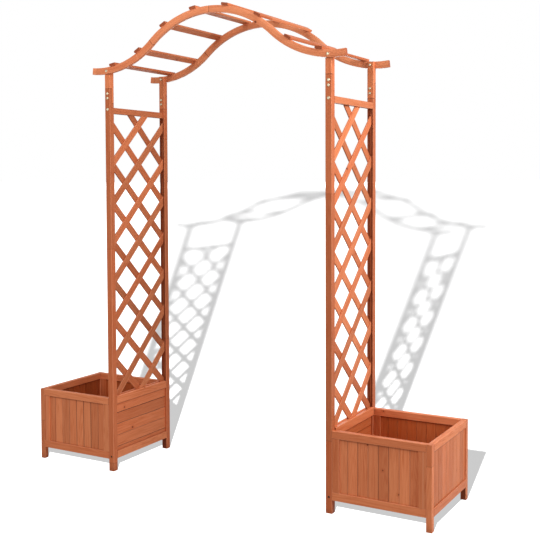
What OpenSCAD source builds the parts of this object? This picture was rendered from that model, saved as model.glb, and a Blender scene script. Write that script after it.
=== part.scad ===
// Rose arch with planters. Two towers stand on the feet of their planters, and an arch of two
// ogee beams with cross slats joins them over the passage.
// X runs along the arch, the front is towards -Y, and Z is up from the ground.
// A tower is drawn on the +X side with its planter outwards, and the left one is turned half round.
// What has a front and a rear is drawn for the rear, and mirrored to the front.

/* [Overall] */
// Clear width of the passage between the two towers
passage_w = 986; // [920:2:1100]
// Length of a tower, from the passage to the outer face of its planter
tower_l = 407; // [330:1:520]
// Depth of a tower, front to back
tower_d = 400; // [320:5:500]

/* [Tall posts and connector posts] */
// Side of the square tall posts and connector posts
post_s = 26; // [22:1:30]
// Height of the tall posts, to the top of their tongues
post_h = 1597; // [1300:1:1900]
// Height of the half-lap between a tall post and its connector post
lap_h = 60; // [46:1:74]
// Thickness of the tall post's tongue in the half-lap
tongue_t = 14; // [10:0.5:16]
// Depth of the notch in a connector post that seats the beam
beam_notch = 10; // [6:0.5:14]
// Height of the beam's seat in a connector post above the tall post
seat_up = 58; // [30:1:120]
// Height of a connector post above the seat of its beam
connector_up = 26; // [22:1:27]
// Distance between the two bolts of a half-lap
lap_bolt_gap = 19; // [16:0.5:26]

/* [Trellis] */
// Distance from the tops of the tall posts down to the trellis top rail
trellis_drop = 77; // [66:1:160]
// Height of the trellis top rail's section
trellis_rail_h = 25; // [22:1:32]
// Thickness of the trellis top rail
trellis_rail_t = 19; // [17:0.5:21]
// Width of a lattice slat
lattice_w = 30; // [16:1:34]
// Diamonds across the trellis
lattice_cols = 2; // [1:1:4]
// Height of a lattice diamond
lattice_row = 164; // [120:1:220]
// Distance from the trellis top rail down to the first crossing on the middle line
lattice_drop = 42; // [20:1:80]
// Distance from the passage face of the posts to the lattice and the passage boards
setback = 8; // [6:0.5:10]

/* [Planter] */
// Height of the planter's rim
planter_h = 307; // [260:1:420]
// Height of the bottom rails above the ground
foot_h = 50; // [35:1:80]
// Side of the square corner posts
corner_s = 22; // [20:1:28]
// Thickness of the planter's rails and stiles
panel_t = 20; // [18:0.5:22]
// Height of the top rails' section
top_rail_h = 28; // [24:1:40]
// Height of the bottom rails' section
bottom_rail_h = 31; // [24:1:40]
// Width of a stile
stile_w = 29; // [22:1:45]
// Height of the passage rim rail above the planter's rim
rim_up = 6; // [0:1:15]
// Height of the passage rim rail's section
rim_rail_h = 32; // [26:1:45]
// Thickness of the passage rim rail
rim_rail_t = 30; // [24:1:32]

/* [Boards] */
// Thickness of the boards
board_t = 10; // [8:0.5:11]
// Width of the chamfer along a board's edges
board_chamfer = 1.2; // [0.5:0.1:2]
// Number of boards in a front or rear panel
panel_boards = 8; // [5:1:12]
// Width of a passage board with its gap, where the lowest one is trimmed to fit
passage_board_w = 48; // [36:0.5:62]
// Gap between neighbouring boards
board_gap = 0.3; // [0.2:0.1:1]
// Side of the square floor battens
batten_s = 15; // [12:1:18]
// Number of floor boards in a planter
floor_boards = 5; // [3:1:7]
// Gap between the floor boards, which drains the planter
floor_gap = 8; // [5:0.5:14]
// Thickness of the floor boards
floor_t = 10; // [8:0.5:14]

/* [Arch] */
// Radius of the beams' underside, both over the crest and over the posts
arch_r = 400; // [350:5:520]
// Distance from the middle of the tall posts out to the beam's low point
low_out = 29; // [10:1:40]
// Length of the beam past its low point
beam_tail = 43; // [20:1:80]
// Height of the beam's section, square to its curve
beam_h = 27; // [22:1:34]
// Thickness of the beam
beam_t = 16; // [13:0.5:22]
// Glue line between the two pieces of a beam half, where its curve turns over
glue_line = 0.1; // [0.05:0.05:0.3]
// Width of the chamfer along the beam's edges
beam_chamfer = 1.2; // [0.5:0.1:3]
// Level distances from the passage face of a tall post to the middles of the cross slats
slat_from_post = [23, 152, 279, 420]; // [22:1:430]
// Width of a cross slat
slat_w = 30; // [20:1:40]
// Thickness of a cross slat
slat_t = 10; // [7:0.5:16]
// Length of a cross slat past the beams at each end
slat_over = 5; // [0:0.5:20]

/* [Joints and fasteners] */
// Clearance of a board, slat or tenon in its groove
fit = 0.2; // [0.1:0.05:0.4]
// Radial clearance of a bolt, screw or dowel in its hole
pin_fit = 0.05; // [0.02:0.01:0.1]
// Depth of the grooves
groove_d = 8; // [5:0.5:9]
// Radius of the bolts
bolt_r = 3; // [2.5:0.5:4]
// Length of bolt inside its cap nut
nut_grip = 5.5; // [4:0.5:6]
// Radius of a domed head
head_r = 6; // [5:0.5:7]
// Height of a domed head
head_h = 4; // [3:0.5:5]
// Distance across the flats of a cap nut
nut_af = 10; // [9:0.5:12]
// Height of a cap nut's hexagon
nut_hex_h = 4.5; // [3.5:0.5:6]
// Radius of a cap nut's dome
nut_dome_r = 4.6; // [4.2:0.1:4.8]
// Radius of the rail screws
rail_screw_r = 2.5; // [2:0.5:3]
// Length of rail screw inside the rail's body
rail_screw_grip = 30; // [20:1:45]
// Height of the lower rail screws above the bottom rail's underside
low_screw_up = 11; // [9:0.5:14]
// Depth of the sunk hole over a lower rail screw
sink_d = 5; // [4:0.5:7]
// Radius of a lower rail screw's head
sunk_head_r = 4.2; // [3.5:0.1:5]
// Height of a lower rail screw's head
sunk_head_h = 3; // [2:0.5:3.5]
// Radius of the wood screws in the arch
wood_screw_r = 1.8; // [1.5:0.1:2.2]
// Radius of a wood screw's head
wood_head_r = 3.4; // [3:0.1:4]
// Height of a wood screw's head
wood_head_h = 1.6; // [1:0.1:2]
// Depth of a wood screw in the beam
wood_screw_d = 11; // [8:0.5:12]
// Radius of the dowels
dowel_r = 3; // [2:0.5:3.5]
// Depth of a dowel in the post
dowel_in_post = 7.5; // [6:0.5:8.5]
// Depth of a dowel in the rail
dowel_in_rail = 16; // [10:1:24]
// Length of a splice plate at the crest of a beam
plate_l = 84; // [60:2:100]
// Width of a splice plate
plate_w = 16; // [12:1:18]
// Thickness of a splice plate
plate_t = 2; // [1.5:0.5:3]
// Radius of the eased edges along the timber
edge_r = 2; // [1:0.5:3]

/* [Hidden] */
$fn = 48;
edge_fn = 24;
beam_fn = 240;

// How far cuts run past a face, and shanks into their heads
over = 1;

// Faces of a tower, from the middle of the arch outwards
post_x = passage_w / 2;
planter_x = post_x + post_s;
post_mid_x = post_x + post_s / 2;
outer_x = post_x + tower_l;
corner_x = outer_x - corner_s;
outer_rail_x = outer_x - panel_t;

// Faces of a tower, from its middle to the rear
rear_y = tower_d / 2;
post_y = rear_y - post_s;
corner_y = rear_y - corner_s;
panel_y = rear_y - panel_t;
panel_mid_y = rear_y - panel_t / 2;
outer_mid_x = outer_x - panel_t / 2;

// Heights
lap_z = post_h - lap_h;
lap_mid_z = post_h - lap_h / 2;
beam_low_z = post_h + seat_up;
connector_top = beam_low_z + connector_up;
trellis_top = post_h - trellis_drop;
trellis_rail_z = trellis_top - trellis_rail_h;
bottom_rail_top = foot_h + bottom_rail_h;
top_rail_z = planter_h - top_rail_h;
rim_top = planter_h + rim_up;
rim_rail_z = rim_top - rim_rail_h;

// Grooves
groove_w = board_t + 2 * fit;
house = groove_d - fit;
board_x = post_x + setback;
lattice_t = board_t / 2;

// Screws and dowels
trellis_screw_z = (trellis_rail_z + groove_d + trellis_top) / 2;
low_screw_z = foot_h + low_screw_up;
sink_r = sunk_head_r + fit;

// Room past the end of a screw or dowel in its hole
dowel_end = 0.5;

// In the corner posts the dowels of the outer rails pass under those of the front and rear rails
low_body_h = bottom_rail_h - groove_d;
top_body_h = top_rail_h - groove_d;
dowel_low = 0.28;
outer_dowel_zs = [foot_h + low_body_h * dowel_low, planter_h - top_body_h * (1 - dowel_low)];
panel_dowel_zs = [foot_h + low_body_h * (1 - dowel_low), planter_h - top_body_h * dowel_low];

// The curve of the beams: an arc over the crest that meets an arc over the post at the angle bend
low_x = post_mid_x + low_out;
bend = asin(low_x / (2 * arch_r));
low_mid_z = beam_low_z + arch_r;
crest_mid_z = low_mid_z - 2 * arch_r * cos(bend);
crest_top_r = arch_r + beam_h;
low_top_r = arch_r - beam_h;
tail_angle = asin(beam_tail / arch_r);
glue_angle = asin(glue_line / 2 / arch_r);
beam_y = rear_y - beam_notch;
beam_mid_y = beam_y + beam_t / 2;
beam_bolt_z = beam_low_z + beam_h / 2;
slat_xs = [for (d = slat_from_post) post_x - d];
slat_half_l = beam_y + beam_t + slat_over;
beam_mid_r = arch_r + beam_h / 2;
plate_z = crest_mid_z + (beam_mid_r + sqrt(beam_mid_r * beam_mid_r - plate_l * plate_l / 4)) / 2;
plate_ys = [-beam_y, beam_y + beam_t];
plate_screws = [0.18, 0.38];

// Boards
panel_board_w = (corner_x - planter_x - 2 * (stile_w - house)) / panel_boards;

// Placing

// The left tower is the right one turned half round
module left() {
    rotate([0, 0, 180]) children();
}

module right() {
    children();
}

// Both towers at once
module both() {
    left() children();
    right() children();
}

// Drawn for the rear and shown at the front
module at_front() {
    mirror([0, 1, 0]) children();
}

module at_rear() {
    children();
}

module at_ends() {
    at_front() children();
    at_rear() children();
}

// Timber sections and bars

// A w by h section with eased corners
module section(w, h) {
    r = edge_r;
    translate([r, 0]) square([w - 2 * r, h]);
    translate([0, r]) square([w, h - 2 * r]);
    for (x = [r, w - r], y = [r, h - r])
        translate([x, y]) circle(r, $fn = edge_fn);
}

// A w by h section with corners cut off by c
module chamfered_section(w, h, c) {
    polygon([[c, 0], [w - c, 0], [w, c], [w, h - c], [w - c, h], [c, h], [0, h - c], [0, c]]);
}

module board_section(w, h) {
    chamfered_section(w, h, board_chamfer);
}

// Number of boards of width w that fill a length, where the last is from 0.3 to 1.3 of a board
function board_count(length, w) = max(1, ceil(length / w - 0.3));

// Bars along Z, X and Y, each from its lowest corner, with the section's two sizes last
module bar_z(at, l, w, h) {
    translate(at) linear_extrude(l) section(w, h);
}

module bar_x(at, l, w, h) {
    translate(at) rotate([90, 0, 90]) linear_extrude(l) section(w, h);
}

module bar_y(at, l, w, h) {
    translate(at + [0, l, 0]) rotate([90, 0, 0]) linear_extrude(l) section(w, h);
}

module block(from, to) {
    translate(from) cube(to - from);
}

// Round holes and pins, from a point along +Y or +X
module rod_y(at, l, r) {
    translate(at) rotate([-90, 0, 0]) cylinder(h = l, r = r);
}

module rod_x(at, l, r) {
    translate(at) rotate([0, 90, 0]) cylinder(h = l, r = r);
}

// Tall posts

module tall_post() {
    color("#c8724a")
    difference() {
        bar_z([post_x, post_y, 0], post_h, post_s, post_s);
        block([post_x - over, post_y - over, lap_z], [planter_x + over, rear_y - tongue_t, post_h + over]);
        block([board_x - fit, post_y - over, foot_h],
            [board_x - fit + groove_w, post_y + groove_d, trellis_top]);
        lap_bolt_holes();
        rod_y([post_mid_x, post_y - over, trellis_screw_z], post_s + 2 * over, rail_screw_r + pin_fit);
        rod_y([post_mid_x, post_y - over, low_screw_z], post_s + 2 * over, rail_screw_r + pin_fit);
        rod_y([post_mid_x, rear_y - sink_d, low_screw_z], sink_d + over, sink_r);
        for (z = panel_dowel_zs)
            rod_x([planter_x - dowel_in_post - dowel_end, panel_mid_y, z],
                dowel_in_post + dowel_end + over, dowel_r + pin_fit);
    }
}

module lap_bolt_holes() {
    for (side = [-1, 1])
        rod_y([post_mid_x, post_y - over, lap_mid_z + side * lap_bolt_gap / 2],
            post_s + 2 * over, bolt_r + pin_fit);
}

// Connector posts

module connector() {
    color("#cf7a50")
    difference() {
        bar_z([post_x, post_y, lap_z], connector_top - lap_z, post_s, post_s);
        block([post_x - over, rear_y - tongue_t, lap_z - over], [planter_x + over, rear_y + over, post_h]);
        block([post_x - over, beam_y, beam_low_z], [planter_x + over, rear_y + over, connector_top + over]);
        lap_bolt_holes();
        rod_y([post_mid_x, post_y - over, beam_bolt_z], post_s + 2 * over, bolt_r + pin_fit);
    }
}

// Rails between the tall posts, with stub tenons in the posts' grooves

module housed_rail(x, z, w, h, groove_above, groove_below) {
    tenon_low = z + (groove_below ? groove_d : edge_r);
    tenon_high = z + h - (groove_above ? groove_d : edge_r);
    difference() {
        union() {
            bar_y([x, -post_y, z], 2 * post_y, w, h);
            block([board_x, -post_y - house, tenon_low], [board_x + board_t, post_y + house, tenon_high]);
        }
        if (groove_above)
            block([board_x - fit, -post_y - over, z + h - groove_d],
                [board_x - fit + groove_w, post_y + over, z + h + over]);
        if (groove_below)
            block([board_x - fit, -post_y - over, z - over],
                [board_x - fit + groove_w, post_y + over, z + groove_d]);
    }
}

// Pilot holes in both ends of a housed rail
module end_pilots(z) {
    at_ends()
        rod_y([post_mid_x, post_y - rail_screw_grip - dowel_end, z],
            rail_screw_grip + dowel_end + groove_d + over, rail_screw_r + pin_fit);
}

module trellis_rail() {
    color("#d98257")
    difference() {
        housed_rail(planter_x - trellis_rail_t, trellis_rail_z, trellis_rail_t, trellis_rail_h,
            false, true);
        end_pilots(trellis_screw_z);
    }
}

module passage_rim_rail() {
    color("#d37b50")
    housed_rail(post_x, rim_rail_z, rim_rail_t, rim_rail_h, true, true);
}

module passage_bottom_rail() {
    color("#c46f47")
    difference() {
        housed_rail(post_x, foot_h, post_s, bottom_rail_h, true, false);
        end_pilots(low_screw_z);
    }
}

// Lattice: two layers of slats that fill the groove between the rim rail and the top rail

module lattice_layer(x, way) {
    low = rim_top - house;
    high = trellis_rail_z + house;
    half = post_y + house;
    first = trellis_rail_z - lattice_drop;
    slope = lattice_row / (2 * post_y / lattice_cols);
    count = floor((first - low + slope * half - lattice_w) / lattice_row);
    translate([x, 0, 0]) rotate([90, 0, 90]) linear_extrude(lattice_t)
        intersection() {
            translate([-half, low]) square([2 * half, high - low]);
            for (i = [0 : count])
                translate([0, first - i * lattice_row]) rotate(way * atan(slope))
                    square([4 * half, lattice_w], center = true);
        }
}

// The layer towards the passage falls to the rear, and the layer behind it rises
module lattice_inner() {
    color("#c0673e") lattice_layer(board_x, -1);
}

module lattice_outer() {
    color("#e08a5c") lattice_layer(board_x + lattice_t, 1);
}

// Passage boards, from the rim rail down

module passage_boards() {
    high = rim_rail_z + house;
    low = bottom_rail_top - house;
    count = board_count(high - low, passage_board_w);
    color("#c26a40")
    for (i = [0 : count - 1]) {
        top = high - i * passage_board_w;
        bottom = i == count - 1 ? low : top - passage_board_w + board_gap;
        translate([board_x, post_y + house, bottom]) rotate([90, 0, 0])
            linear_extrude(2 * (post_y + house)) board_section(board_t, top - bottom);
    }
}

// Corner posts with the groove for the outer boards

module corner_post() {
    color("#b9653f")
    difference() {
        bar_z([corner_x, corner_y, 0], planter_h, corner_s, corner_s);
        block([outer_mid_x - groove_w / 2, corner_y - over, bottom_rail_top - groove_d],
            [outer_mid_x + groove_w / 2, corner_y + groove_d, top_rail_z + groove_d]);
        for (z = panel_dowel_zs)
            rod_x([corner_x - over, panel_mid_y, z],
                dowel_in_post + dowel_end + over, dowel_r + pin_fit);
        for (z = outer_dowel_zs)
            rod_y([outer_mid_x, corner_y - over, z],
                dowel_in_post + dowel_end + over, dowel_r + pin_fit);
    }
}

// Outer panel: rails between the corner posts, and boards in their grooves

module outer_rail(z, h, dowel_z, groove_z) {
    difference() {
        bar_y([outer_rail_x, -corner_y, z], 2 * corner_y, panel_t, h);
        block([outer_mid_x - groove_w / 2, -corner_y - over, groove_z],
            [outer_mid_x + groove_w / 2, corner_y + over, groove_z + groove_d + over]);
        at_ends()
            rod_y([outer_mid_x, corner_y - dowel_in_rail - dowel_end, dowel_z],
                dowel_in_rail + dowel_end + over, dowel_r + pin_fit);
    }
}

module outer_top_rail() {
    color("#dd865a") outer_rail(top_rail_z, top_rail_h, outer_dowel_zs[1], top_rail_z - over);
}

module outer_bottom_rail() {
    color("#cc764c") outer_rail(foot_h, bottom_rail_h, outer_dowel_zs[0], bottom_rail_top - groove_d);
}

// The boards of the front and rear panels are used here too, with a seam in the middle, and the
// end ones are trimmed to fit
module outer_boards() {
    half = corner_y + house;
    low = bottom_rail_top - house;
    count = board_count(half, panel_board_w);
    color("#c8734a")
    at_ends()
        for (i = [0 : count - 1]) {
            from = i * panel_board_w + board_gap / 2;
            to = i == count - 1 ? half : (i + 1) * panel_board_w - board_gap / 2;
            translate([outer_mid_x - board_t / 2, from, low])
                linear_extrude(top_rail_z + house - low) board_section(board_t, to - from);
        }
}

// Front and rear panels: rails from post to post, stiles between the rails, and boards

module panel_rail(z, h, dowel_z, groove_z) {
    difference() {
        bar_x([planter_x, panel_y, z], corner_x - planter_x, panel_t, h);
        block([planter_x - over, panel_mid_y - groove_w / 2, groove_z],
            [corner_x + over, panel_mid_y + groove_w / 2, groove_z + groove_d + over]);
        rod_x([planter_x - over, panel_mid_y, dowel_z],
            dowel_in_rail + dowel_end + over, dowel_r + pin_fit);
        rod_x([corner_x - dowel_in_rail - dowel_end, panel_mid_y, dowel_z],
            dowel_in_rail + dowel_end + over, dowel_r + pin_fit);
    }
}

module panel_top_rail() {
    color("#c97750") panel_rail(top_rail_z, top_rail_h, panel_dowel_zs[1], top_rail_z - over);
}

module panel_bottom_rail() {
    color("#c46f47") panel_rail(foot_h, bottom_rail_h, panel_dowel_zs[0], bottom_rail_top - groove_d);
}

// A stile stands between the rails, with a tenon in each and a groove on the side of the boards
module stile(x, groove_x) {
    difference() {
        union() {
            bar_z([x, panel_y, bottom_rail_top], top_rail_z - bottom_rail_top, stile_w, panel_t);
            block([x + edge_r, panel_mid_y - board_t / 2, bottom_rail_top - house],
                [x + stile_w - edge_r, panel_mid_y + board_t / 2, top_rail_z + house]);
        }
        block([groove_x, panel_mid_y - groove_w / 2, bottom_rail_top - groove_d - over],
            [groove_x + groove_d + over, panel_mid_y + groove_w / 2, top_rail_z + groove_d + over]);
    }
}

module panel_stiles() {
    color("#bd6a44") {
        stile(planter_x, planter_x + stile_w - groove_d);
        stile(corner_x - stile_w, corner_x - stile_w - over);
    }
}

module panel_board_row() {
    from = planter_x + stile_w - house + board_gap / 2;
    low = bottom_rail_top - house;
    color("#b9694a")
    for (i = [0 : panel_boards - 1])
        translate([from + i * panel_board_w, panel_mid_y - board_t / 2, low])
            linear_extrude(top_rail_z + house - low)
                board_section(panel_board_w - board_gap, board_t);
}

// Floor: battens on the inner faces of the bottom rails, and boards across them

module floor_battens() {
    color("#a85a36")
    both() at_ends()
        bar_x([planter_x + floor_gap / 2, panel_y - batten_s, foot_h],
            corner_x - planter_x - floor_gap, batten_s, batten_s);
}

module floor_board_row() {
    span = outer_rail_x - planter_x;
    w = (span - (floor_boards + 1) * floor_gap) / floor_boards;
    color("#a3532f")
    for (i = [0 : floor_boards - 1])
        bar_y([planter_x + floor_gap + i * (w + floor_gap), -panel_y + board_gap, foot_h + batten_s],
            2 * (panel_y - board_gap), w, floor_t);
}

// Arch

// Part of a ring in the XZ plane round a middle point, between two angles from +X towards +Z
module ring_part(middle_x, middle_z, r, from, to) {
    translate([middle_x, beam_y + beam_t, middle_z]) rotate([90, 0, 0]) rotate(from)
        rotate_extrude(angle = to - from, $fn = beam_fn) translate([r, 0])
            chamfered_section(beam_h, beam_t, beam_chamfer);
}

// Half of the rear beam, from the crest out over the right tower: a piece of the crest arc, and a
// piece of the arc over the post glued to its end. The screws of its splice plate go in from the
// outer face where plate_outside is true.
module beam_half(plate_outside) {
    screw_y = plate_outside ? beam_y + beam_t - wood_screw_d - dowel_end : beam_y - over;
    color("#e98c5e")
    difference() {
        union() {
            ring_part(0, crest_mid_z, arch_r, 90 - bend + glue_angle, 90);
            ring_part(low_x, low_mid_z, low_top_r, 270 - bend + glue_angle, 270 + tail_angle);
        }
        rod_y([post_mid_x, beam_y - over, beam_bolt_z], beam_t + 2 * over, bolt_r + pin_fit);
        for (x = slat_xs)
            at_slat(x)
                translate([0, beam_mid_y, -wood_screw_d - dowel_end])
                    cylinder(h = 2 * wood_screw_d, r = wood_screw_r + pin_fit);
        for (share = plate_screws)
            rod_y([share * plate_l, screw_y, plate_z],
                wood_screw_d + dowel_end + over, wood_screw_r + pin_fit);
    }
}

// Moves to the top of the beam at a level distance x from the crest, with Z square to the beam there
module at_slat(x) {
    on_crest = x < crest_top_r * sin(bend);
    a = on_crest ? asin(x / crest_top_r) : asin((low_x - x) / low_top_r);
    z = on_crest ? crest_mid_z + crest_top_r * cos(a) : low_mid_z - low_top_r * cos(a);
    lift = on_crest ? 0 : low_top_r - sqrt(low_top_r * low_top_r - slat_w * slat_w / 4);
    translate([x, 0, z]) rotate([0, a, 0]) translate([0, 0, lift]) children();
}

module cross_slats() {
    color("#b8623c")
    both()
        for (x = slat_xs)
            at_slat(x)
                difference() {
                    bar_y([-slat_w / 2, -slat_half_l, 0], 2 * slat_half_l, slat_w, slat_t);
                    for (y = [-beam_mid_y, beam_mid_y]) {
                        translate([0, y, -over])
                            cylinder(h = slat_t + 2 * over, r = wood_screw_r + pin_fit);
                        translate([0, y, slat_t - wood_head_h])
                            cylinder(h = wood_head_h + over, r = wood_head_r + pin_fit);
                    }
                }
}

// Both splice plates are on the rear faces of their beams
module splice_plates() {
    color("#b9bcc0")
    for (y = plate_ys)
        difference() {
            block([-plate_l / 2, y, plate_z - plate_w / 2],
                [plate_l / 2, y + plate_t, plate_z + plate_w / 2]);
            for (share = plate_screws, side = [-1, 1])
                rod_y([side * share * plate_l, y - over, plate_z],
                    plate_t + 2 * over, wood_screw_r + pin_fit);
        }
}

// Fasteners

// A dome of radius head_r that stands on the plane z = 0
module dome() {
    r = (head_r * head_r + head_h * head_h) / (2 * head_h);
    intersection() {
        translate([0, 0, head_h - r]) sphere(r);
        cylinder(h = head_h + over, r = head_r + over);
    }
}

// A dome-head pin whose head stands on the rear at y and whose shank runs forwards
module dome_pin(x, y, z, l, r) {
    translate([x, y, z]) rotate([-90, 0, 0]) dome();
    rod_y([x, y - l, z], l + over, r);
}

module dome_bolts() {
    color("#d9d6cc")
    both() at_ends() {
        for (side = [-1, 1])
            dome_pin(post_mid_x, rear_y, lap_mid_z + side * lap_bolt_gap / 2,
                post_s + nut_grip, bolt_r);
        dome_pin(post_mid_x, beam_y + beam_t, beam_bolt_z, beam_y + beam_t - post_y + nut_grip, bolt_r);
    }
}

// A cap nut with its hexagon against the plane y = post_y and its dome towards the front
module cap_nut(z) {
    translate([post_mid_x, post_y, z]) rotate([90, 0, 0])
        difference() {
            union() {
                cylinder(h = nut_hex_h, r = nut_af / 2 / cos(30), $fn = 6);
                translate([0, 0, nut_hex_h]) sphere(nut_dome_r);
            }
            translate([0, 0, -over])
                cylinder(h = nut_grip + dowel_end + over, r = bolt_r + pin_fit);
        }
}

module cap_nuts() {
    color("#d9d6cc")
    both() at_ends() {
        for (side = [-1, 1])
            cap_nut(lap_mid_z + side * lap_bolt_gap / 2);
        cap_nut(beam_bolt_z);
    }
}

module rail_screws() {
    color("#c9c6bd")
    both() at_ends() {
        dome_pin(post_mid_x, rear_y, trellis_screw_z, post_s + rail_screw_grip, rail_screw_r);
        rod_y([post_mid_x, rear_y - sink_d, low_screw_z], sunk_head_h, sunk_head_r);
        rod_y([post_mid_x, post_y - rail_screw_grip, low_screw_z],
            post_s + rail_screw_grip - sink_d + over, rail_screw_r);
    }
}

// A wood screw whose head stands on the plane z = 0
module wood_screw(l) {
    cylinder(h = wood_head_h, r = wood_head_r);
    translate([0, 0, -l]) cylinder(h = l + wood_head_h / 2, r = wood_screw_r);
}

module wood_screws() {
    color("#b9bcc0") {
        both()
            for (x = slat_xs, y = [-beam_mid_y, beam_mid_y])
                at_slat(x) translate([0, y, slat_t - wood_head_h])
                    wood_screw(slat_t - wood_head_h + wood_screw_d);
        for (y = plate_ys, share = plate_screws, side = [-1, 1])
            translate([side * share * plate_l, y + plate_t, plate_z]) rotate([-90, 0, 0])
                wood_screw(plate_t + wood_screw_d);
    }
}

module dowels() {
    l = dowel_in_post + dowel_in_rail;
    color("#e3b98a")
    both() at_ends() {
        for (z = panel_dowel_zs) {
            rod_x([planter_x - dowel_in_post, panel_mid_y, z], l, dowel_r);
            rod_x([corner_x - dowel_in_rail, panel_mid_y, z], l, dowel_r);
        }
        for (z = outer_dowel_zs)
            rod_y([outer_mid_x, corner_y - dowel_in_rail, z], l, dowel_r);
    }
}

left() at_rear() tall_post();  // tall_post_left_front
left() at_front() tall_post();  // tall_post_left_rear
right() at_front() tall_post();  // tall_post_right_front
right() at_rear() tall_post();  // tall_post_right_rear
left() at_rear() connector();  // connector_left_front
left() at_front() connector();  // connector_left_rear
right() at_front() connector();  // connector_right_front
right() at_rear() connector();  // connector_right_rear
left() trellis_rail();  // trellis_rail_left
right() trellis_rail();  // trellis_rail_right
left() lattice_inner();  // lattice_inner_left
right() lattice_inner();  // lattice_inner_right
left() lattice_outer();  // lattice_outer_left
right() lattice_outer();  // lattice_outer_right
left() passage_rim_rail();  // passage_rim_rail_left
right() passage_rim_rail();  // passage_rim_rail_right
left() passage_boards();  // passage_boards_left
right() passage_boards();  // passage_boards_right
left() passage_bottom_rail();  // passage_bottom_rail_left
right() passage_bottom_rail();  // passage_bottom_rail_right
left() at_rear() corner_post();  // corner_post_left_front
left() at_front() corner_post();  // corner_post_left_rear
right() at_front() corner_post();  // corner_post_right_front
right() at_rear() corner_post();  // corner_post_right_rear
left() outer_top_rail();  // outer_top_rail_left
right() outer_top_rail();  // outer_top_rail_right
left() outer_bottom_rail();  // outer_bottom_rail_left
right() outer_bottom_rail();  // outer_bottom_rail_right
left() outer_boards();  // outer_boards_left
right() outer_boards();  // outer_boards_right
left() at_rear() panel_top_rail();  // front_top_rail_left
left() at_rear() panel_bottom_rail();  // front_bottom_rail_left
left() at_rear() panel_stiles();  // front_stiles_left
left() at_rear() panel_board_row();  // front_boards_left
right() at_front() panel_top_rail();  // front_top_rail_right
right() at_front() panel_bottom_rail();  // front_bottom_rail_right
right() at_front() panel_stiles();  // front_stiles_right
right() at_front() panel_board_row();  // front_boards_right
left() at_front() panel_top_rail();  // rear_top_rail_left
left() at_front() panel_bottom_rail();  // rear_bottom_rail_left
left() at_front() panel_stiles();  // rear_stiles_left
left() at_front() panel_board_row();  // rear_boards_left
right() at_rear() panel_top_rail();  // rear_top_rail_right
right() at_rear() panel_bottom_rail();  // rear_bottom_rail_right
right() at_rear() panel_stiles();  // rear_stiles_right
right() at_rear() panel_board_row();  // rear_boards_right
left() floor_board_row();  // floor_boards_left
right() floor_board_row();  // floor_boards_right
floor_battens();
left() at_rear() beam_half(false);  // beam_left_front
left() at_front() beam_half(true);  // beam_left_rear
right() at_front() beam_half(false);  // beam_right_front
right() at_rear() beam_half(true);  // beam_right_rear
cross_slats();
splice_plates();
dome_bolts();
cap_nuts();
rail_screws();
wood_screws();
dowels();
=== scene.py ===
"""Looks of the rose arch with planters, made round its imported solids.

The posts, rails and boards keep their solids and get timber finishes. The bent beams, the lattice,
the splice plates and the fasteners are modelled here in finer detail and stand for their solids.
"""

import logging
import math
from dataclasses import dataclass
from enum import Enum
from typing import Any, Callable, Dict, Iterable, List, Optional, Sequence, Tuple, Union

import bpy
from mathutils import Matrix, Vector


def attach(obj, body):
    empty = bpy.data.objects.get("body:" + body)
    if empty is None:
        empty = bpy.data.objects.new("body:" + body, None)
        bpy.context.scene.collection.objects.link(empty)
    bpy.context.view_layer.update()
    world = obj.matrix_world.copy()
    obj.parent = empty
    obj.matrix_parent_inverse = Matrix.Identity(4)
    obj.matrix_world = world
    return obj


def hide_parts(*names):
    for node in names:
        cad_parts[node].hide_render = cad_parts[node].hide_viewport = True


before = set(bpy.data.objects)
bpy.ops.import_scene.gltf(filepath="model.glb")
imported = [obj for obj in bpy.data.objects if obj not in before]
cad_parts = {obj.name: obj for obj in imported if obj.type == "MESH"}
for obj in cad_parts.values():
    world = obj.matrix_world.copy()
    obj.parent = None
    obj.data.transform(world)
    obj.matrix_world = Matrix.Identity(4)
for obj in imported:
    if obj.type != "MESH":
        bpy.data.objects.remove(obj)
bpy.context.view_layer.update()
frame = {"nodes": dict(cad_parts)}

Colour = Tuple[float, float, float, float]
Number = Union[int, float, "Field"]
Pair = Tuple[float, float]
Triple = Tuple[float, float, float]
Material = bpy.types.Material
Piece = bpy.types.Object
log = logging.getLogger("rose_arch")

PI = math.pi
IN_PLACE = Matrix.Identity(4)
HALF_TURN = Matrix.Rotation(PI, 4, "Z")


def moved(x: float, y: float, z: float) -> Matrix:
    """The matrix that moves a piece and leaves it unturned."""
    return Matrix.Translation((x, y, z))


def paint(red: int, green: int, blue: int) -> Colour:
    """Turn a display colour, from 0 to 255, into the linear colour that a shader takes."""
    shown = (red / 255, green / 255, blue / 255)
    return (*[c / 12.92 if c <= 0.04045 else ((c + 0.055) / 1.055) ** 2.4 for c in shown], 1.0)


class Axis(Enum):
    """A direction of the object: along the arch, front to rear, or up."""

    X = 0
    Y = 1
    Z = 2


X, Y, Z = Axis


def operation(kind: str, swapped: bool = False) -> Callable[..., "Field"]:
    """Make a method of a field that adds a Math node.

    Args:
        kind: Operation of the node.
        swapped: True where the field comes last, as in 1 - field.

    Returns:
        The method.
    """

    def result(field: "Field", *others: Number) -> "Field":
        """Result of the operation on the field and the other values."""
        return field.bench.math(kind, *((*others, field) if swapped else (field, *others)))

    return result


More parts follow.
